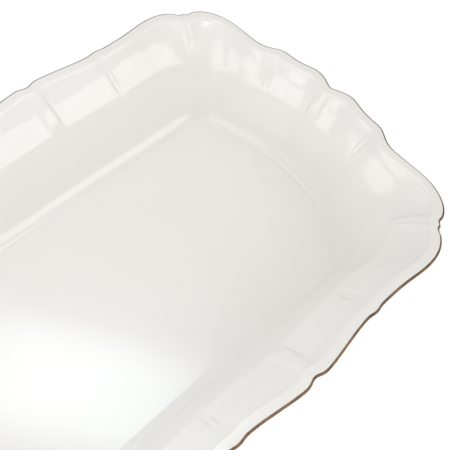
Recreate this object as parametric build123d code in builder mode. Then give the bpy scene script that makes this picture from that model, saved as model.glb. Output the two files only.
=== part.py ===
"""Deep rectangular porcelain serving platter with a scalloped, fluted rim and a gilt edge.

Frame: millimetres, +Z up, origin on the table under the middle of the platter, the long
axis along X. The platter is the same in all four quarters, so its plan is drawn once, from
the middle of a long side (run 0) round the corner to the middle of a short side, and mirrored.
"""

import math
import os

from build123d import *

# ---- driving dimensions ---------------------------------------------------------------
RIM_HALF_LENGTH = 164.1  # middle line of the wavy rim, short side
RIM_HALF_WIDTH = 104.9  # middle line of the wavy rim, long side
RIM_CORNER = 35.0  # corner radius of that middle line
WELL_HALF_LENGTH = 146.2  # where the flat well meets the wall, at the middle of the short side
WELL_HALF_WIDTH = 66.8
WELL_CORNER = 21.5
WELL_END_RADIUS = 117.0  # the ends of the well are bowed

FLOOR = 6.0  # top of the glazed well above the table
UNDERSIDE = 2.2  # glazed underside above the table
SHOULDER = 41.0  # height at which the plain wall turns out into the fluted rim
SHOULDER_SHARE = 0.50  # how far out the shoulder is, as a share of the wall's run
CREASE = 57.0  # height of the crease inside the flat lip
LIP_BAND = 6.2  # width of the lip outside the crease
LIP_RADIUS = 1.2
LIP_HEIGHT = 56.1  # height of the middle of the rounded lip

GLAZE = 0.3
GILT = 0.15
FOOT_OUT = -8.0  # foot ring's faces, measured out from the well's edge
FOOT_IN = -12.4
FOOT_GLAZE_FROM = 0.5  # the glaze stops this far above the table

# ---- the waves of the rim --------------------------------------------------------------
LONG_PITCH = 86.8  # from one outward tip to the next along the long side
LONG_WAVE = 4.5
CORNER_CREST, CORNER_CREST_RUN, CORNER_CREST_WIDTH = 2.0, 124.0, 14.0
END_STEP, END_STEP_RUN, END_STEP_WIDTH = 7.6, 212.3, 3.4
END_CREST, END_CREST_OFFSET, END_CREST_WIDTH = 3.4, 12.2, 9.0
# Each flute: its run round the rim, how far it moves the edge out (+) or in (-), its width
FLUTES = [
    (0.0, 1.5, 2.6),
    (LONG_PITCH / 2, -2.6, 3.8),
    (LONG_PITCH, 1.5, 2.6),
    (148.0, -3.6, 8.5),
    (218.7, 0.9, 2.6),
    (254.0, -1.2, 3.8),
]
FLUTE_FOOT = 38.0  # the flutes fade in from this height
FLUTE_FULL = 52.0  # and are at full depth from here up

# ---- lengths round one quarter of the rim's middle line ----------------------------------
LONG_STRAIGHT = RIM_HALF_LENGTH - RIM_CORNER
CORNER_RUN = RIM_CORNER * math.pi / 2
SHORT_STRAIGHT = RIM_HALF_WIDTH - RIM_CORNER
QUARTER = LONG_STRAIGHT + CORNER_RUN + SHORT_STRAIGHT
STEPS = 56  # points round a quarter

# ---- the well's edge ---------------------------------------------------------------------
END_CENTRE = WELL_HALF_LENGTH - WELL_END_RADIUS
WELL_CORNER_Y = WELL_HALF_WIDTH - WELL_CORNER
WELL_CORNER_X = END_CENTRE + math.sqrt((WELL_END_RADIUS - WELL_CORNER) ** 2 - WELL_CORNER_Y**2)
END_ANGLE = math.asin(WELL_CORNER_Y / (WELL_END_RADIUS - WELL_CORNER))
WELL_CORNER_RUN = WELL_CORNER * (math.pi / 2 - END_ANGLE)
WELL_QUARTER = WELL_CORNER_X + WELL_CORNER_RUN + WELL_END_RADIUS * END_ANGLE
# Which run round the rim faces which run round the well: square across the sides, fanned
# at the corner, where the rib points at the tightest part of the well's corner
FACING = [(0.0, 0.0), (100.0, 100.0), (148.0, 132.5), (218.7, 163.0), (QUARTER, WELL_QUARTER)]


def facing_run(run):
    """Run round the well that faces this run round the rim, by a smooth monotone curve."""
    knots = len(FACING)
    pairs = zip(FACING, FACING[1:])
    slopes = [(well_b - well_a) / (rim_b - rim_a) for (rim_a, well_a), (rim_b, well_b) in pairs]
    ends = [slopes[0]]
    ends += [2 * a * b / (a + b) for a, b in zip(slopes, slopes[1:])]
    ends += [slopes[-1]]
    i = max(k for k in range(knots - 1) if run >= FACING[k][0])
    (run_a, well_a), (run_b, well_b) = FACING[i], FACING[i + 1]
    width = run_b - run_a
    t = (run - run_a) / width
    return (
        well_a * (1 + 2 * t) * (1 - t) ** 2
        + well_b * t * t * (3 - 2 * t)
        + width * t * (1 - t) * (ends[i] * (1 - t) - ends[i + 1] * t)
    )


def rim_line(run):
    """Point on the middle line of the rim."""
    if run <= LONG_STRAIGHT:
        return run, RIM_HALF_WIDTH
    if run <= LONG_STRAIGHT + CORNER_RUN:
        turn = (run - LONG_STRAIGHT) / RIM_CORNER
        return LONG_STRAIGHT + RIM_CORNER * math.sin(turn), SHORT_STRAIGHT + RIM_CORNER * math.cos(turn)
    return RIM_HALF_LENGTH, QUARTER - run


def well_line(run):
    """Point on the well's edge: straight side, corner arc, bowed end."""
    if run <= WELL_CORNER_X:
        return run, WELL_HALF_WIDTH
    turn = (run - WELL_CORNER_X) / WELL_CORNER
    if run <= WELL_CORNER_X + WELL_CORNER_RUN:
        return WELL_CORNER_X + WELL_CORNER * math.sin(turn), WELL_CORNER_Y + WELL_CORNER * math.cos(turn)
    angle = (WELL_QUARTER - run) / WELL_END_RADIUS
    return END_CENTRE + WELL_END_RADIUS * math.cos(angle), WELL_END_RADIUS * math.sin(angle)


def broad_wave(run):
    """The large soft waves of the rim, which reach down the whole wall."""
    wave = CORNER_CREST * math.exp(-(((run - CORNER_CREST_RUN) / CORNER_CREST_WIDTH) ** 2))
    if run < LONG_PITCH:
        wave += LONG_WAVE * (1 - math.cos(2 * math.pi * run / LONG_PITCH)) / 2
    wave += END_STEP / (1 + math.exp((END_STEP_RUN - run) / END_STEP_WIDTH))
    for crest in (QUARTER - END_CREST_OFFSET, QUARTER + END_CREST_OFFSET):
        wave += END_CREST * math.exp(-(((run - crest) / END_CREST_WIDTH) ** 2))
    return wave


def flute_wave(run):
    """The narrow flutes and ribs, which only mark the flared rim."""
    wave = 0.0
    for middle, height, width in FLUTES:
        for place in (middle, -middle, 2 * QUARTER - middle):
            if place == middle or abs(place - run) < LONG_PITCH:
                wave += height * math.exp(-(((run - place) / width) ** 2))
        if middle in (0.0, QUARTER):
            wave -= height * math.exp(-(((run - middle) / width) ** 2))
    return wave


def flute_depth(height):
    """How much of the flutes shows at this height."""
    t = min(max((height - FLUTE_FOOT) / (FLUTE_FULL - FLUTE_FOOT), 0.0), 1.0)
    return t * t * (3 - 2 * t)


# ---- the wall's profile ------------------------------------------------------------------
def wall_share(height):
    """Share of the run that the straight lower wall has reached at this height."""
    return SHOULDER_SHARE * (height - FLOOR) / (SHOULDER - FLOOR)


def lip_point(degrees, radius=LIP_RADIUS):
    """Point on the rounded lip, by its angle from straight up, as height, share, extra."""
    angle = math.radians(degrees)
    reach = LIP_BAND - LIP_RADIUS + radius * math.sin(angle)
    return LIP_HEIGHT + radius * math.cos(angle), 1.0, reach


# Each station: height, share of the run from the well's edge to the crease, extra reach
FACE = [
    (FLOOR, 0.0, -4.4),
    (7.4, wall_share(7.4), -2.75),
    (9.2, wall_share(9.2), -1.1),
    (12.2, wall_share(12.2), 0.0),
    (26.0, wall_share(26.0), 0.0),
    (36.5, wall_share(36.5), 0.2),
    (41.0, 0.52, 0.0),
    (45.2, 0.64, 0.0),
    (49.8, 0.77, 0.0),
    (54.0, 0.90, 0.0),
    (CREASE, 1.0, 0.0),
    (57.2, 1.0, 2.5),
]
LIP_ANGLES = (0, 35, 70, 105, 140, 175)
LIP = [lip_point(degrees) for degrees in LIP_ANGLES]
BACK = [
    (54.4, 1.0, 1.0),
    (51.7, 0.90, 1.8),
    (47.6, 0.77, 2.1),
    (43.0, 0.64, 2.3),
    (39.0, 0.52, 2.8),
    (34.5, wall_share(36.5), 3.1),
    (24.4, wall_share(26.0), 3.5),
    (8.1, wall_share(9.9), 3.9),
    (5.0, wall_share(8.0), 2.5),
    (2.95, wall_share(6.7), -0.1),
    (UNDERSIDE, 0.0, -3.6),
]
GLAZED = FACE + LIP + BACK
TYPICAL_RUN = RIM_HALF_WIDTH + LONG_WAVE / 2 - WELL_HALF_WIDTH - LIP_BAND


def inset(stations, depth):
    """The same profile moved into the clay by depth, square to the surface."""
    moved = []
    for i, (height, share, extra) in enumerate(stations):
        before = stations[max(i - 1, 0)]
        after = stations[min(i + 1, len(stations) - 1)]
        rise = after[0] - before[0]
        reach = (after[1] - before[1]) * TYPICAL_RUN + after[2] - before[2]
        if i in (0, len(stations) - 1):
            rise = 0.0
        length = math.hypot(rise, reach)
        moved.append((height - depth * reach / length, share, extra + depth * rise / length))
    return moved


# ---- closed curves round the platter ------------------------------------------------------
def quarter_point(run, height, share, extra):
    """Point of a section, in the first quarter."""
    well_x, well_y = well_line(facing_run(run))
    rim_x, rim_y = rim_line(run)
    across = math.hypot(rim_x - well_x, rim_y - well_y)
    reach = share * (across + broad_wave(run) - LIP_BAND) + extra
    reach += flute_depth(height) * flute_wave(run)
    return well_x + (rim_x - well_x) * reach / across, well_y + (rim_y - well_y) * reach / across


def section_points(station):
    """Points all round a section, from the middle of the +Y side, clockwise seen from above."""
    quarter = [quarter_point(QUARTER * i / STEPS, *station) for i in range(STEPS + 1)]
    right_back = quarter
    right_front = [(x, -y) for x, y in reversed(quarter)]
    left_front = [(-x, -y) for x, y in quarter]
    left_back = [(-x, y) for x, y in reversed(quarter)]
    return right_back[:-1] + right_front[:-1] + left_front[:-1] + left_back[:-1]


def skin(stations):
    """Solid inside the skin that joins the stations, closed flat at the first and the last."""
    with BuildPart() as solid:
        for station in stations:
            with BuildSketch(Plane.XY.offset(station[0])):
                with BuildLine():
                    Spline(*section_points(station), periodic=True)
                make_face()
        loft(ruled=True, clean=False)
    return solid.part


def prism(station, tall):
    """Upright block on the outline of one station."""
    with BuildPart() as block:
        with BuildSketch(Plane.XY.offset(station[0])):
            with BuildLine():
                Spline(*section_points(station), periodic=True)
            make_face()
        extrude(amount=tall)
    return block.part


def foot_block(extra, bottom, top):
    """Upright block under the well, its outline standing off the well's edge by extra."""
    return prism((bottom, 0.0, extra), top - bottom)


# ---- the pieces ----------------------------------------------------------------------------
CLAY = inset(GLAZED, GLAZE)
CLAY_UNDERSIDE = CLAY[-1][0]
ROOT = 1.0  # how far the foot ring reaches up into the body

with BuildPart() as bisque_body:
    add(skin(CLAY))
    add(foot_block(FOOT_OUT, 0.0, CLAY_UNDERSIDE + ROOT))
    add(foot_block(FOOT_IN, 0.0, CLAY_UNDERSIDE), mode=Mode.SUBTRACT)
bisque_body.part.label = "bisque_body"

with BuildPart() as glaze_coat:
    add(skin(GLAZED))
    add(skin(CLAY), mode=Mode.SUBTRACT)
    add(foot_block(FOOT_OUT, 0.0, CLAY_UNDERSIDE), mode=Mode.SUBTRACT)
    add(foot_block(FOOT_OUT + GLAZE, FOOT_GLAZE_FROM, UNDERSIDE))
    add(foot_block(FOOT_OUT, 0.0, CLAY_UNDERSIDE), mode=Mode.SUBTRACT)
glaze_coat.part.label = "glaze_coat"

with BuildPart() as glaze_foot_recess:
    add(foot_block(FOOT_IN, FOOT_GLAZE_FROM, CLAY_UNDERSIDE))
    add(foot_block(FOOT_IN - GLAZE, FOOT_GLAZE_FROM, UNDERSIDE), mode=Mode.SUBTRACT)
glaze_foot_recess.part.label = "glaze_foot_recess"

GILDED = LIP_ANGLES[1:5]
GILT_OUTSIDE = [lip_point(degrees, LIP_RADIUS + GILT) for degrees in GILDED]
GILT_INSIDE = [lip_point(degrees) for degrees in reversed(GILDED)]
OPENING = (GILT_INSIDE[-1][0] - 1.0, 1.0, GILT_INSIDE[-1][2] - 0.1)
with BuildPart() as gilt_edge_line:
    add(skin(GILT_OUTSIDE + GILT_INSIDE))
    add(prism(OPENING, 2.0), mode=Mode.SUBTRACT)
gilt_edge_line.part.label = "gilt_edge_line"

os.makedirs("parts", exist_ok=True)
export_step(bisque_body.part, "parts/bisque_body.step")
export_step(glaze_coat.part, "parts/glaze_coat.step")
export_step(glaze_foot_recess.part, "parts/glaze_foot_recess.step")
export_step(gilt_edge_line.part, "parts/gilt_edge_line.step")

for piece in (bisque_body, glaze_coat, glaze_foot_recess, gilt_edge_line):
    box = piece.part.bounding_box()
    size = " x ".join(f"{edge_length:.2f}" for edge_length in box.size)
    print(piece.part.label, len(piece.part.solids()), "solid,", f"{piece.part.volume:.0f} mm3,", size)
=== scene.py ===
"""Looks of the porcelain platter: glaze, bare foot and gilt edge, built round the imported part."""

import math

import bpy
import numpy as np
from mathutils import Matrix, Vector


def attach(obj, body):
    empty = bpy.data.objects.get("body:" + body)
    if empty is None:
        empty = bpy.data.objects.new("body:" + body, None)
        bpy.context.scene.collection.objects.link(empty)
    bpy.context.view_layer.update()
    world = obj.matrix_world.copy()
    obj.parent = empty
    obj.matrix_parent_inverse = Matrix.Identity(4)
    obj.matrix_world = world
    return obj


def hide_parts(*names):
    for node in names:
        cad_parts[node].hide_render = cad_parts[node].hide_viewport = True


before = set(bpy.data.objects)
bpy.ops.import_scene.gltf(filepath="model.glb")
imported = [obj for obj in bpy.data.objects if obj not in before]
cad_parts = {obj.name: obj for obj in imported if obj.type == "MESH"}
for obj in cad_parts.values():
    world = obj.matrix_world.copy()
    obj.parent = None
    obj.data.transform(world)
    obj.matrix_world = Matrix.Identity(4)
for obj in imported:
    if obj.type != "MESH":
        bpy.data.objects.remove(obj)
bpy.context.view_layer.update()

# ---- the platter's driving dimensions, in millimetres: the CAD's, but where noted -------------
MM = 0.001
RIM_HALF_LENGTH = 164.1
RIM_HALF_WIDTH = 104.9
RIM_CORNER = 35.0
WELL_HALF_LENGTH = 146.2
WELL_HALF_WIDTH = 66.8
WELL_CORNER = 21.5
WELL_END_RADIUS = 117.0
FLOOR = 6.0
UNDERSIDE = 2.2
SHOULDER = 41.0
SHOULDER_SHARE = 0.50
LIP_BAND = 6.2
LIP_RADIUS = 1.2
LIP_HEIGHT = 56.1
GLAZE = 0.3
GILT = 0.09  # 0.15 in the CAD
FOOT_OUT = -8.0
FOOT_IN = -12.4
FOOT_GLAZE_FROM = 0.5

LONG_PITCH = 86.8
LONG_WAVE = 4.5
CORNER_CREST, CORNER_CREST_RUN, CORNER_CREST_WIDTH = 2.0, 124.0, 14.0
END_STEP, END_STEP_RUN, END_STEP_WIDTH = 7.6, 212.3, 3.4
END_CREST, END_CREST_OFFSET, END_CREST_WIDTH = 3.4, 12.2, 9.0
NOTCH_RUN = LONG_PITCH / 2
CORNER_RIB_RUN = 148.0
END_TIP_RUN = 218.7
FLUTE_FOOT = 38.0
FLUTE_FULL = 56.5  # 52.0 in the CAD

LONG_STRAIGHT = RIM_HALF_LENGTH - RIM_CORNER
CORNER_RUN = RIM_CORNER * math.pi / 2
SHORT_STRAIGHT = RIM_HALF_WIDTH - RIM_CORNER
QUARTER = LONG_STRAIGHT + CORNER_RUN + SHORT_STRAIGHT

END_CENTRE = WELL_HALF_LENGTH - WELL_END_RADIUS
WELL_CORNER_Y = WELL_HALF_WIDTH - WELL_CORNER
WELL_CORNER_X = END_CENTRE + math.sqrt((WELL_END_RADIUS - WELL_CORNER) ** 2 - WELL_CORNER_Y**2)
END_ANGLE = math.asin(WELL_CORNER_Y / (WELL_END_RADIUS - WELL_CORNER))
WELL_CORNER_RUN = WELL_CORNER * (math.pi / 2 - END_ANGLE)
WELL_QUARTER = WELL_CORNER_X + WELL_CORNER_RUN + WELL_END_RADIUS * END_ANGLE
FACING = [
    (0.0, 0.0),
    (100.0, 100.0),
    (CORNER_RIB_RUN, 132.5),
    (END_TIP_RUN, 163.0),
    (QUARTER, WELL_QUARTER),
]

# ---- how finely the surfaces are drawn ----------------------------------------------------
QUARTER_STEPS = 240  # columns round a quarter, closer together at the flutes
FINE_STEPS = 1200  # points round a quarter from which the columns are read
SOFTEN = 5.0  # the plan's arcs run into its straights over about this many millimetres
ROW_LENGTH = 1.4  # millimetres between rows along the profile
HIDDEN_ROWS = 2  # hidden skins keep one row in this many
CROWDING, CROWDING_WIDTH = 1.8, 8.0  # how much denser the columns are at a flute, and how far


# ---- plan of the platter: one quarter as arrays over the run -------------------------------
def facing_run(run):
    """Run round the well that faces each run round the rim, by a smooth monotone curve."""
    rims, wells = np.array(FACING).T
    slopes = np.diff(wells) / np.diff(rims)
    between = 2 * slopes[:-1] * slopes[1:] / (slopes[:-1] + slopes[1:])
    ends = np.concatenate([slopes[:1], between, slopes[-1:]])
    i = np.clip(np.searchsorted(rims, run, side="right") - 1, 0, len(rims) - 2)
    width = rims[i + 1] - rims[i]
    t = (run - rims[i]) / width
    return (
        wells[i] * (1 + 2 * t) * (1 - t) ** 2
        + wells[i + 1] * t * t * (3 - 2 * t)
        + width * t * (1 - t) * (ends[i] * (1 - t) - ends[i + 1] * t)
    )


def rim_line(run):
    """Points on the middle line of the rim."""
    turn = np.clip((run - LONG_STRAIGHT) / RIM_CORNER, 0, math.pi / 2)
    x = np.minimum(run, LONG_STRAIGHT) + RIM_CORNER * np.sin(turn)
    y = SHORT_STRAIGHT + RIM_CORNER * np.cos(turn) - np.maximum(run - LONG_STRAIGHT - CORNER_RUN, 0)
    return np.stack([x, y], -1)


def well_line(run):
    """Points on the well's edge: straight side, corner arc, bowed end."""
    turn = np.clip((run - WELL_CORNER_X) / WELL_CORNER, 0, math.pi / 2 - END_ANGLE)
    x = np.minimum(run, WELL_CORNER_X) + WELL_CORNER * np.sin(turn)
    y = WELL_CORNER_Y + WELL_CORNER * np.cos(turn)
    angle = (WELL_QUARTER - run) / WELL_END_RADIUS
    bowed = run > WELL_CORNER_X + WELL_CORNER_RUN
    x = np.where(bowed, END_CENTRE + WELL_END_RADIUS * np.cos(angle), x)
    y = np.where(bowed, WELL_END_RADIUS * np.sin(angle), y)
    return np.stack([x, y], -1)


def bell(run, middle, width):
    return np.exp(-(((run - middle) / width) ** 2))


def broad_wave(run):
    """The large soft waves of the rim, which reach down the whole wall."""
    wave = CORNER_CREST * bell(run, CORNER_CREST_RUN, CORNER_CREST_WIDTH)
    along_side = LONG_WAVE * (1 - np.cos(2 * np.pi * run / LONG_PITCH)) / 2
    wave += np.where(run < LONG_PITCH, along_side, 0)
    wave += END_STEP / (1 + np.exp((END_STEP_RUN - run) / END_STEP_WIDTH))
    for crest in (QUARTER - END_CREST_OFFSET, QUARTER + END_CREST_OFFSET):
        wave += END_CREST * bell(run, crest, END_CREST_WIDTH)
    return wave


def tip_flute(offset, fade, height):
    """A valley that runs out to a tip of the edge, with a fine rib along its bottom."""
    width = 2.0 + 1.4 * fade
    valley = np.exp(-(np.abs(offset / width) ** (3.6 - 1.6 * fade**4)))
    rib = np.exp(-((offset / 0.8) ** 2)) * (1 - fade**8)
    return height * (1.35 - 0.8 * fade) * valley - 1.1 * rib


def notch_flute(offset, fade, depth):
    """A ridge between two fine grooves that runs out to a notch, flatter towards its foot."""
    half = 4.6 - 0.8 * fade
    ridge = np.exp(-(np.abs(offset / half) ** (4.6 - 2.6 * fade**3)))
    groove = bell(np.abs(offset), half + 0.4, 0.9) * (1 - fade**6)
    return 0.75 * groove - depth * ridge


def corner_rib(offset, fade):
    """The double rib across a corner: two rounded beads side by side on an inward swell."""
    half = 2.3 + 0.4 * fade
    bead = np.exp(-(np.abs((np.abs(offset) - half) / (0.8 * half)) ** 2.6))
    return -3.0 * bell(offset, 0, 8.5) - 1.9 * (1 - 0.55 * fade) * bead


def flute_wave(run, fade):
    """The narrow flutes and ribs of the flared rim, for each run and each fade of a row."""
    wave = tip_flute(run, fade, 1.5) + tip_flute(run - LONG_PITCH, fade, 1.5)
    wave += notch_flute(run - NOTCH_RUN, fade, 2.6 - 0.8 * fade)
    wave += corner_rib(run - CORNER_RIB_RUN, fade)
    wave += tip_flute(run - END_TIP_RUN, fade, 0.9)
    wave += notch_flute(run - QUARTER, fade, 1.4)
    return wave


def soften(points, spacing):
    """The closed curve with its corners eased, by a bell-shaped average along it."""
    reach = int(3 * SOFTEN / spacing)
    weights = bell(np.arange(-reach, reach + 1) * spacing, 0, SOFTEN)
    weights /= weights.sum()
    total = np.zeros_like(points)
    for shift, weight in zip(range(-reach, reach + 1), weights):
        total += weight * np.roll(points, shift, axis=0)
    return total


def all_round(quarter):
    """Mirrors a quarter of the plan (in x and y) into the closed curve."""
    front = quarter[::-1] * (1, -1)
    left = quarter * (-1, -1)
    back = quarter[::-1] * (-1, 1)
    return np.concatenate([quarter[:-1], front[:-1], left[:-1], back[:-1]])


def column_runs():
    """Runs of a quarter's columns: closer together near the flutes."""
    density = np.ones_like(FINE)
    for middle in (0, NOTCH_RUN, LONG_PITCH, CORNER_RIB_RUN, END_TIP_RUN, QUARTER):
        density += CROWDING * bell(FINE, middle, CROWDING_WIDTH)
    count = np.concatenate([[0], np.cumsum((density[1:] + density[:-1]) / 2)])
    return np.interp(np.linspace(0, count[-1], QUARTER_STEPS + 1), count, FINE)


def round_curve(quarter_line):
    """The softened closed curve of a line of the plan, read at the columns."""
    spacing = QUARTER / FINE_STEPS
    curve = soften(all_round(quarter_line(FINE)), spacing)
    places = np.arange(len(curve)) * spacing
    axes = [np.interp(PLACE_ROUND, places, axis, period=4 * QUARTER) for axis in curve.T]
    return np.stack(axes, -1)


FINE = np.linspace(0, QUARTER, FINE_STEPS + 1)
RUN = column_runs()
# Of every column all round: its run within its quarter, and its place along the whole curve.
RUN_ROUND = np.concatenate([RUN[:-1], RUN[:0:-1], RUN[:-1], RUN[:0:-1]])
PLACE_ROUND = np.concatenate(
    [RUN[:-1], 2 * QUARTER - RUN[:0:-1], 2 * QUARTER + RUN[:-1], 4 * QUARTER - RUN[:0:-1]]
)
WELL = round_curve(lambda run: well_line(facing_run(run)))
RIM = round_curve(rim_line)
ACROSS = np.linalg.norm(RIM - WELL, axis=1)
OUTWARD = (RIM - WELL) / ACROSS[:, None]
BROAD = broad_wave(RUN_ROUND)
COLUMNS = len(RUN_ROUND)


def smooth_step(value, low, high):
    t = np.clip((value - low) / (high - low), 0.0, 1.0)
    return t * t * (3 - 2 * t)


def ring(height, share, extra):
    """All the points of one level of the wall."""
    fade = smooth_step(height, FLUTE_FOOT, FLUTE_FULL)
    depth = smooth_step(height, FLUTE_FOOT - 1.0, FLUTE_FOOT + 6.0) * fade**0.35
    reach = share * (ACROSS + BROAD - LIP_BAND) + extra + depth * flute_wave(RUN_ROUND, fade)
    plan = WELL + OUTWARD * reach[:, None]
    return np.column_stack([plan, np.full(COLUMNS, height)])


# ---- the profile -----------------------------------------------------------------------------
def wall_share(height):
    return SHOULDER_SHARE * (height - FLOOR) / (SHOULDER - FLOOR)


def lip_point(degrees, radius=LIP_RADIUS):
    angle = math.radians(degrees)
    height = LIP_HEIGHT + radius * math.cos(angle)
    return height, 1.0, LIP_BAND - LIP_RADIUS + radius * math.sin(angle)


# Each station: height, share of the way from the well's edge to the lip band, extra reach.
FACE = [
    (FLOOR, 0.0, -10.0),
    (FLOOR, 0.0, -6.0),
    (FLOOR, 0.0, -4.2),
    (6.04, 0.0, -3.5),
    (6.32, wall_share(6.32), -2.9),
    (7.35, wall_share(7.35), -2.0),
    (8.85, wall_share(8.85), -1.05),
    (10.4, wall_share(10.4), -0.30),
    (11.9, wall_share(11.9), -0.05),
    (14.0, wall_share(14.0), 0.0),
    (19.0, wall_share(19.0), 0.0),
    (27.0, wall_share(27.0), 0.0),
    (34.0, wall_share(34.0), 0.0),
    (38.0, wall_share(38.0), 0.05),
    (40.0, wall_share(40.0), 0.3),
    (42.0, 0.548, 0.0),
    (45.2, 0.632, 0.0),
    (49.0, 0.735, 0.0),
    (51.6, 0.815, 0.0),
    (53.7, 0.890, 0.0),
    (55.7, 0.968, 0.0),
    (56.1, 1.0, -0.55),
    (56.7, 1.0, -0.12),
    (57.1, 1.0, 0.28),
    (57.2, 1.0, 0.8),
    (57.21, 1.0, 2.0),
    (57.26, 1.0, 3.6),
]
LIP = [lip_point(degrees) for degrees in range(0, 181, 18)]
GILT_ANGLES = range(4, 125, 8)  # degrees round the lip, from its top outwards
GILT_SUNK = 0.05  # how far the gold reaches into the glaze
BACK = [
    (54.75, 1.0, 3.2),
    (54.4, 1.0, 1.0),
    (51.7, 0.90, 1.8),
    (47.6, 0.77, 2.1),
    (43.0, 0.64, 2.3),
    (39.0, 0.52, 2.8),
    (34.5, wall_share(36.5), 3.1),
    (24.4, wall_share(26.0), 3.5),
    (14.0, wall_share(15.7), 3.8),
    (8.1, wall_share(9.9), 3.9),
    (5.0, wall_share(8.0), 2.5),
    (2.95, wall_share(6.7), -0.1),
    (UNDERSIDE, 0.0, -3.6),
    (UNDERSIDE, 0.0, -5.5),
]
TYPICAL_RUN = RIM_HALF_WIDTH + LONG_WAVE / 2 - WELL_HALF_WIDTH - LIP_BAND


def flat(stations):
    """Stations as points of the typical section: reach and height."""
    heights, shares, extras = np.array(stations).T
    return np.column_stack([shares * TYPICAL_RUN + extras, heights])


def smooth_profile(stations):
    """A smooth curve through the stations, as more stations about ROW_LENGTH apart."""
    stations = np.array(stations)
    chord = np.linalg.norm(np.diff(flat(stations), axis=0), axis=1)
    knots = np.concatenate([[0], np.cumsum(np.sqrt(chord))])
    start, end = 2 * stations[0] - stations[1], 2 * stations[-1] - stations[-2]
    padded = np.vstack([start, stations, end])
    times = np.concatenate([[-knots[1]], knots, [2 * knots[-1] - knots[-2]]])
    rows = [stations[0]]
    for i, length in enumerate(chord):
        before, here, after, beyond = padded[i : i + 4]
        t0, t1, t2, t3 = times[i : i + 4]
        pace = (after - here) / (t2 - t1)
        leave = (here - before) / (t1 - t0) - (after - before) / (t2 - t0) + pace
        arrive = pace - (beyond - here) / (t3 - t1) + (beyond - after) / (t3 - t2)
        steps = max(1, int(round(length / ROW_LENGTH)))
        for t in np.arange(1, steps + 1) / steps:
            rows.append(
                here * (1 + 2 * t) * (1 - t) ** 2
                + after * t * t * (3 - 2 * t)
                + leave * (t2 - t1) * t * (1 - t) ** 2
                - arrive * (t2 - t1) * t * t * (1 - t)
            )
    return np.array(rows)


def inset(stations, depth):
    """The same profile moved into the clay by depth, square to the surface."""
    points = flat(stations)
    along = np.gradient(points, axis=0)
    along /= np.linalg.norm(along, axis=1)[:, None]
    moved = stations.copy()
    moved[:, 0] -= depth * along[:, 0]
    moved[:, 2] += depth * along[:, 1]
    return moved


# ---- meshes ------------------------------------------------------------------------------------
def to_middle(edge, shares):
    """Level rings that shrink from an edge ring towards the middle."""
    return [edge * (share, share, 0) + (0, 0, edge[0, 2]) for share in shares]


def mesh_piece(name, rings, filled):
    """Closed mesh of quads through the rings: filled at both ends, or else a loop."""
    shrink = (0.93, 0.8, 0.6, 0.4, 0.2, 0.04)
    if filled:
        rings = to_middle(rings[0], shrink[::-1]) + rings + to_middle(rings[-1], shrink)
    rows = len(rings)
    here = np.arange(COLUMNS)
    ahead = (here + 1) % COLUMNS
    faces = []
    for row in range(rows - 1 if filled else rows):
        low, high = row * COLUMNS, (row + 1) % rows * COLUMNS
        faces += np.column_stack([here + low, ahead + low, ahead + high, here + high]).tolist()
    if filled:
        faces.append(here[::-1].tolist())
        faces.append((here + (rows - 1) * COLUMNS).tolist())
    mesh = bpy.data.meshes.new(name)
    mesh.from_pydata((np.concatenate(rings) * MM).tolist(), [], faces)
    mesh.update()
    mesh.shade_smooth()
    piece = bpy.data.objects.new(name, mesh)
    bpy.context.scene.collection.objects.link(piece)
    return piece


def rings_at(stations):
    return [ring(*station) for station in stations]


def flank(extra, *heights):
    """Rings up or down a side of the foot, standing off the well's edge by extra."""
    return [ring(height, 0.0, extra) for height in heights]


PROFILE = smooth_profile(FACE + LIP + BACK)
CLAY = inset(PROFILE, GLAZE)[::HIDDEN_ROWS]
CLAY_UNDERSIDE = UNDERSIDE + GLAZE
FOOT_TOP = UNDERSIDE - 0.1  # the glaze eases from the underside into the foot above this
FOOT_MIDDLE = 1.4
GLAZE_END = FOOT_GLAZE_FROM + 0.15  # the glaze rounds off below this
FOOT_EDGE = ((0.15, 0.15), (0.0, 0.5), (0.0, 1.5))  # height and distance in, down the ground edge


def make_glaze_coat():
    """The glaze: its outside from the well over the lip to the foot, and back along the clay."""
    outside = rings_at(PROFILE)
    outside += flank(FOOT_OUT + GLAZE, FOOT_TOP, FOOT_MIDDLE, GLAZE_END)
    end = flank(FOOT_OUT + GLAZE / 2, FOOT_GLAZE_FROM)
    against_clay = flank(FOOT_OUT, GLAZE_END, FOOT_MIDDLE, CLAY_UNDERSIDE)
    against_clay += rings_at(CLAY[::-1])
    return mesh_piece("glazed_platter", outside + end + against_clay, filled=True)


def make_foot_recess():
    """The glaze inside the foot: its side against the clay, and back along its open side."""
    against_clay = flank(FOOT_IN, CLAY_UNDERSIDE, FOOT_MIDDLE, GLAZE_END)
    end = flank(FOOT_IN - GLAZE / 2, FOOT_GLAZE_FROM)
    open_side = flank(FOOT_IN - GLAZE, GLAZE_END, FOOT_MIDDLE, FOOT_TOP)
    for inward in (0.1, 0.6):
        open_side += flank(FOOT_IN - GLAZE - inward, UNDERSIDE)
    return mesh_piece("glazed_foot_recess", against_clay + end + open_side, filled=True)


def make_clay_body():
    """The fired clay under the glaze, with its bare foot, whose edges are ground round."""
    foot = flank(FOOT_OUT, CLAY_UNDERSIDE, FOOT_MIDDLE, FOOT_GLAZE_FROM)
    for height, inward in FOOT_EDGE:
        foot += flank(FOOT_OUT - inward, height)
    for height, inward in FOOT_EDGE[::-1]:
        foot += flank(FOOT_IN + inward, height)
    foot += flank(FOOT_IN, FOOT_GLAZE_FROM, FOOT_MIDDLE, CLAY_UNDERSIDE)
    return mesh_piece("porcelain_body", rings_at(CLAY) + foot, filled=True)


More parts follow.
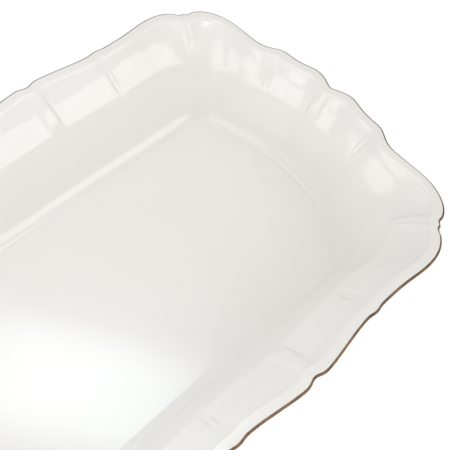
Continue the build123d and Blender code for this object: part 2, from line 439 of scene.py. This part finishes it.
def make_gilt():
    """The gold line round the outer half of the lip, thickest in its middle."""
    outside, inside = [], []
    for i, degrees in enumerate(GILT_ANGLES):
        swell = math.sin(math.pi * i / (len(GILT_ANGLES) - 1))
        outside.append(lip_point(degrees, LIP_RADIUS + GILT * swell))
        inside.append(lip_point(degrees, LIP_RADIUS - GILT_SUNK))
    return mesh_piece("gilt_line", rings_at(outside + inside[::-1]), filled=False)


# ---- materials -----------------------------------------------------------------------------------
def new_material(name):
    material = bpy.data.materials.new(name)
    material.use_nodes = True
    return material, material.node_tree.nodes, material.node_tree.links


def add_noise(nodes, links, place, scale, detail):
    """Noise over the piece's own coordinates."""
    noise = nodes.new("ShaderNodeTexNoise")
    noise.inputs["Scale"].default_value = scale
    noise.inputs["Detail"].default_value = detail
    links.new(place.outputs["Object"], noise.inputs["Vector"])
    return noise


def add_ramp(nodes, links, value, low, high, colour):
    """Colours a socket by a value, between two stops that are each a position and a colour."""
    ramp = nodes.new("ShaderNodeValToRGB")
    for element, (position, tone) in zip(ramp.color_ramp.elements, (low, high)):
        element.position = position
        element.color = (*tone, 1)
    links.new(value, ramp.inputs["Fac"])
    links.new(ramp.outputs["Color"], colour)


def add_bump(nodes, links, noise, strength, distance, normal):
    """Bends a normal socket by the noise."""
    bump = nodes.new("ShaderNodeBump")
    bump.inputs["Strength"].default_value = strength
    bump.inputs["Distance"].default_value = distance
    links.new(noise.outputs["Fac"], bump.inputs["Height"])
    links.new(bump.outputs["Normal"], normal)


def glaze_material():
    """White porcelain under a clear glaze, slightly uneven in tone and surface."""
    material, nodes, links = new_material("white_glaze")
    shader = nodes["Principled BSDF"]
    shader.inputs["Roughness"].default_value = 0.35
    shader.inputs["IOR"].default_value = 1.5
    shader.inputs["Coat Weight"].default_value = 1.0
    shader.inputs["Coat Roughness"].default_value = 0.03
    shader.inputs["Coat IOR"].default_value = 1.6
    place = nodes.new("ShaderNodeTexCoord")
    tone = add_noise(nodes, links, place, scale=14.0, detail=3.0)
    cream, white = (0.3, (0.958, 0.930, 0.892)), (0.7, (0.970, 0.946, 0.912))
    add_ramp(nodes, links, tone.outputs["Fac"], cream, white, shader.inputs["Base Color"])
    swell = add_noise(nodes, links, place, scale=35.0, detail=1.0)
    add_bump(nodes, links, swell, 0.25, 0.0002, shader.inputs["Coat Normal"])
    return material


def bare_material():
    """Unglazed fired porcelain: fine matt grain."""
    material, nodes, links = new_material("bare_porcelain")
    shader = nodes["Principled BSDF"]
    shader.inputs["Roughness"].default_value = 0.75
    place = nodes.new("ShaderNodeTexCoord")
    grain = add_noise(nodes, links, place, scale=900.0, detail=5.0)
    dark, light = (0.0, (0.60, 0.56, 0.50)), (1.0, (0.78, 0.75, 0.70))
    add_ramp(nodes, links, grain.outputs["Fac"], dark, light, shader.inputs["Base Color"])
    add_bump(nodes, links, grain, 0.4, 0.0001, shader.inputs["Normal"])
    return material


def gold_material():
    """Fired gold, brownish and a little rubbed."""
    material, nodes, links = new_material("fired_gold")
    shader = nodes["Principled BSDF"]
    shader.inputs["Metallic"].default_value = 1.0
    place = nodes.new("ShaderNodeTexCoord")
    wear = add_noise(nodes, links, place, scale=220.0, detail=4.0)
    brown, gold = (0.35, (0.16, 0.105, 0.07)), (0.65, (0.30, 0.19, 0.11))
    add_ramp(nodes, links, wear.outputs["Fac"], brown, gold, shader.inputs["Base Color"])
    dull = nodes.new("ShaderNodeMapRange")
    dull.inputs["To Min"].default_value = 0.22
    dull.inputs["To Max"].default_value = 0.42
    links.new(wear.outputs["Fac"], dull.inputs["Value"])
    links.new(dull.outputs["Result"], shader.inputs["Roughness"])
    return material


def finish_piece(piece, material, node):
    piece.data.materials.append(material)
    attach(piece, "root")
    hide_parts(node)


GLAZE_FINISH = glaze_material()
finish_piece(make_glaze_coat(), GLAZE_FINISH, "glaze_coat")
finish_piece(make_foot_recess(), GLAZE_FINISH, "glaze_foot_recess")
finish_piece(make_clay_body(), bare_material(), "bisque_body")
finish_piece(make_gilt(), gold_material(), "gilt_edge_line")


# ---- stage: floor, light, camera ---------------------------------------------------------------
def make_floor():
    """A white floor, just under the foot so that the two don't coincide."""
    half, below = 20.0, -0.0002
    plan = ((-half, -half), (half, -half), (half, half), (-half, half))
    mesh = bpy.data.meshes.new("floor")
    mesh.from_pydata([(x, y, below) for x, y in plan], [], [(0, 1, 2, 3)])
    floor = bpy.data.objects.new("floor", mesh)
    bpy.context.scene.collection.objects.link(floor)
    material, nodes, links = new_material("floor_paper")
    shader = nodes["Principled BSDF"]
    shader.inputs["Base Color"].default_value = (0.9, 0.9, 0.9, 1)
    shader.inputs["Roughness"].default_value = 0.9
    shader.inputs["Emission Color"].default_value = (1, 1, 1, 1)
    shader.inputs["Emission Strength"].default_value = 0.34
    mesh.materials.append(material)


def softbox(name, place, looks, size, radiance, tint, soft, turn=0, spread=180):
    """A softbox at a place, its back to looks, turned on its axis and dimmer towards its edges."""
    width, height = size
    light = bpy.data.lights.new(name, "AREA")
    light.shape = "RECTANGLE"
    light.size = width
    light.size_y = height
    light.energy = radiance * math.pi * width * height
    light.color = tint
    light.spread = math.radians(spread)
    light.use_nodes = True
    nodes, links = light.node_tree.nodes, light.node_tree.links
    across = nodes.new("ShaderNodeNewGeometry")
    split = nodes.new("ShaderNodeSeparateXYZ")
    links.new(across.outputs["Parametric"], split.inputs["Vector"])
    glow = None
    for axis in ("X", "Y"):
        for low, high in ((0.0, soft), (1.0, 1.0 - soft)):
            edge = nodes.new("ShaderNodeMapRange")
            edge.interpolation_type = "SMOOTHSTEP"
            edge.inputs["From Min"].default_value = low
            edge.inputs["From Max"].default_value = high
            links.new(split.outputs[axis], edge.inputs["Value"])
            if glow is None:
                glow = edge.outputs["Result"]
                continue
            product = nodes.new("ShaderNodeMath")
            product.operation = "MULTIPLY"
            links.new(glow, product.inputs[0])
            links.new(edge.outputs["Result"], product.inputs[1])
            glow = product.outputs["Value"]
    links.new(glow, nodes["Emission"].inputs["Strength"])
    lamp = bpy.data.objects.new(name, light)
    turned = Matrix.Rotation(math.radians(turn), 3, "Z")
    facing = looks.to_track_quat("Z", "Y").to_matrix() @ turned
    lamp.matrix_world = Matrix.Translation(place) @ facing.to_4x4()
    lamp.visible_camera = False
    bpy.context.scene.collection.objects.link(lamp)


def toward(azimuth, elevation, distance):
    """The place at this azimuth (0 is +Y, 90 is +X), elevation and distance from the origin."""
    turn, lift = math.radians(azimuth), math.radians(elevation)
    way = Vector((math.sin(turn) * math.cos(lift), math.cos(turn) * math.cos(lift), math.sin(lift)))
    return way * distance


def make_world():
    """A grey studio, warmer and lighter overhead."""
    world = bpy.data.worlds.new("studio")
    bpy.context.scene.world = world
    world.use_nodes = True
    nodes, links = world.node_tree.nodes, world.node_tree.links
    back = nodes["Background"]
    way = nodes.new("ShaderNodeTexCoord")
    split = nodes.new("ShaderNodeSeparateXYZ")
    links.new(way.outputs["Generated"], split.inputs["Vector"])
    low, zenith = (0.25, (0.580, 0.585, 0.590)), (1.0, (0.68, 0.650, 0.62))
    add_ramp(nodes, links, split.outputs["Z"], low, zenith, back.inputs["Color"])


def make_camera():
    """Camera above the near left corner, looking down the length of the platter."""
    forward = toward(48.5, -59.5, 1)
    roll = math.radians(6.4)
    level = forward.cross(Vector((0, 0, 1))).normalized()
    upright = level.cross(forward)
    right = level * math.cos(roll) + upright * math.sin(roll)
    up = right.cross(forward)
    turn = Matrix((right, up, -forward)).transposed()
    lens = bpy.data.cameras.new("camera")
    lens.sensor_width = 36.0
    lens.lens = 51.84
    lens.clip_start = 0.01
    camera = bpy.data.objects.new("camera", lens)
    camera.matrix_world = Matrix.Translation((-0.0536, -0.1316, 0.3271)) @ turn.to_4x4()
    bpy.context.scene.collection.objects.link(camera)
    bpy.context.scene.camera = camera


make_floor()
make_world()
COOL = (0.77, 0.91, 1.0)
NEUTRAL = (1.0, 0.985, 0.97)
UP = Vector((0, 0, 1))
SOFTBOX_DISTANCE = 1.5
softbox(
    "window_above",
    Vector((0.005, 0.103, 0.42)),
    UP,
    size=(0.18, 0.40),
    radiance=3.05,
    tint=COOL,
    soft=0.36,
    turn=31.5,
)
softbox(
    "window_left",
    Vector((-0.27, 0.21, 0.38)),
    Vector((-0.19, 0.31, 0.345)),
    size=(0.14, 0.14),
    radiance=0.5,
    tint=COOL,
    soft=0.2,
    spread=36,
)
softbox(
    "window_high",
    Vector((-0.62, -0.02, 0.51)),
    Vector((-0.74, -0.06, 0.5)),
    size=(0.45, 0.3),
    radiance=1.2,
    tint=NEUTRAL,
    soft=0.15,
)
for name, azimuth, elevation, size, radiance in (
    ("softbox_front", 164, 34, (1.46, 0.53), 1.35),
    ("softbox_left", -85, 12, (1.53, 0.475), 1.2),
):
    place = toward(azimuth, elevation, SOFTBOX_DISTANCE)
    softbox(name, place, toward(azimuth, elevation, 1), size, radiance, NEUTRAL, soft=0.05)
make_camera()
bpy.context.scene.view_settings.view_transform = "Standard"
